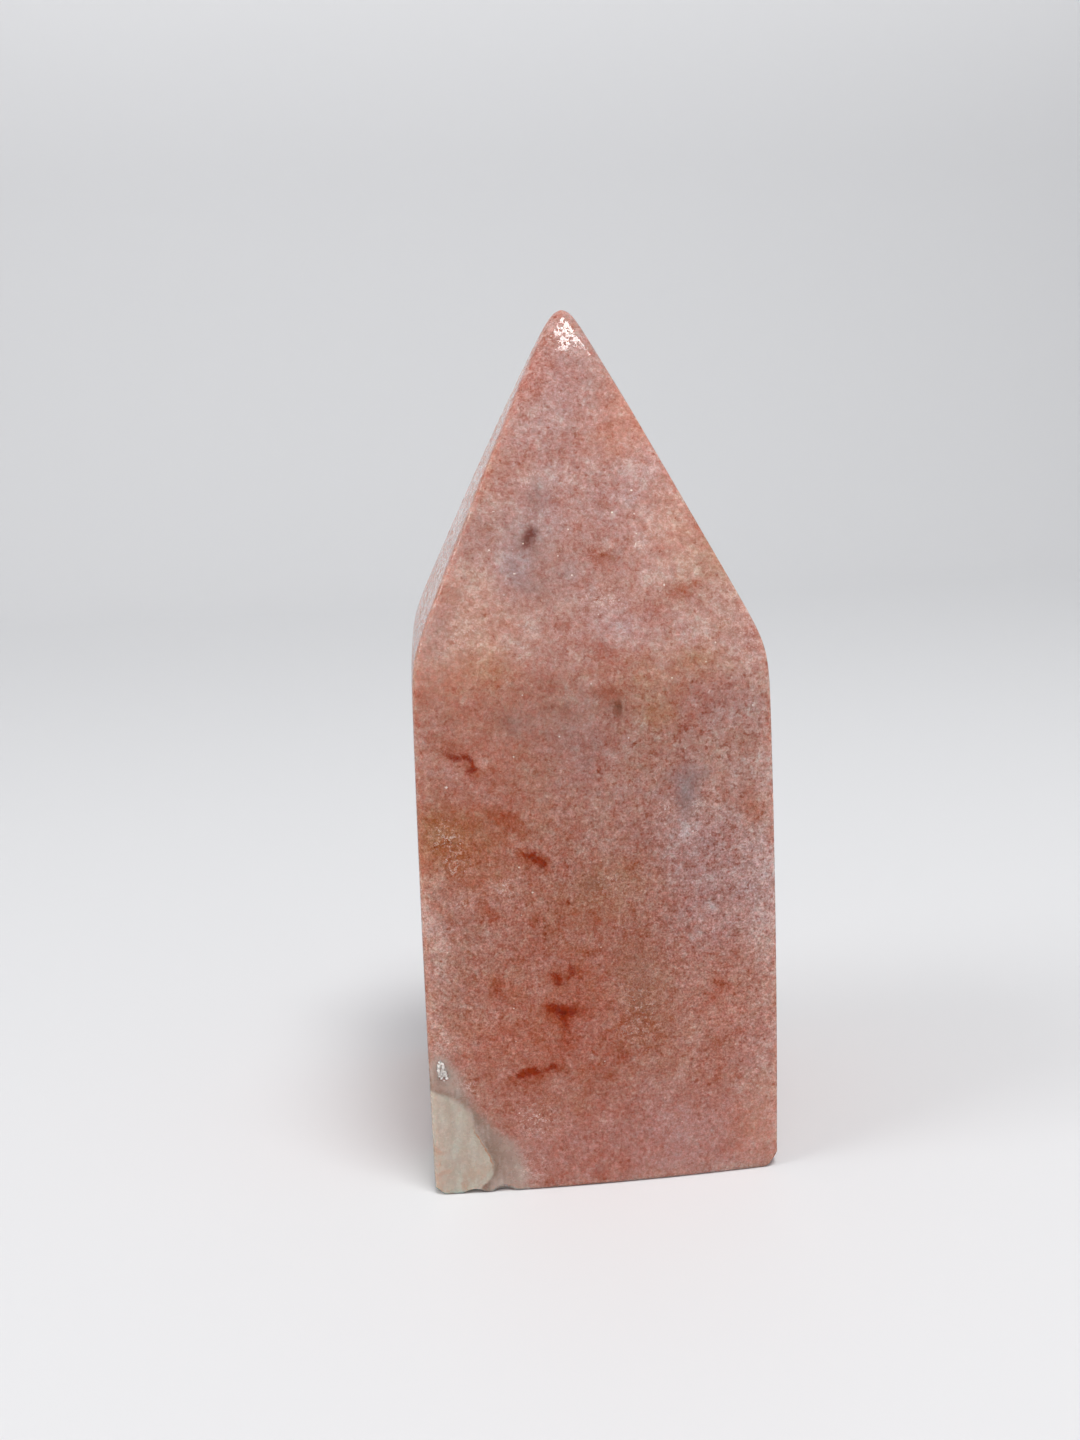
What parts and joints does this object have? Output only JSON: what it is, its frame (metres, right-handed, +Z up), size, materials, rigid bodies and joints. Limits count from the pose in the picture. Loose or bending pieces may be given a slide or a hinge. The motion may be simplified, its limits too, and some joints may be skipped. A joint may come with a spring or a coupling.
{
  "type": "pink amethyst tower",
  "caption": "Polished four-sided tower of milky pink amethyst with a pyramid point, ground from one stone, standing on its flat sawn base.",
  "frame": {"origin": "middle of the tower's flat base, on the surface that it stands on", "axes": "+Z up along the tower to its point, -Y out of the broad face with the grey quartz corner, +X to that face's right"},
  "size_m": [0.0405, 0.0394, 0.0988],
  "materials": {
    "pink_amethyst": "polished"
  },
  "bodies": {
    "root": {"amethyst_tower": "pink_amethyst"}
  },
  "joints": []
}
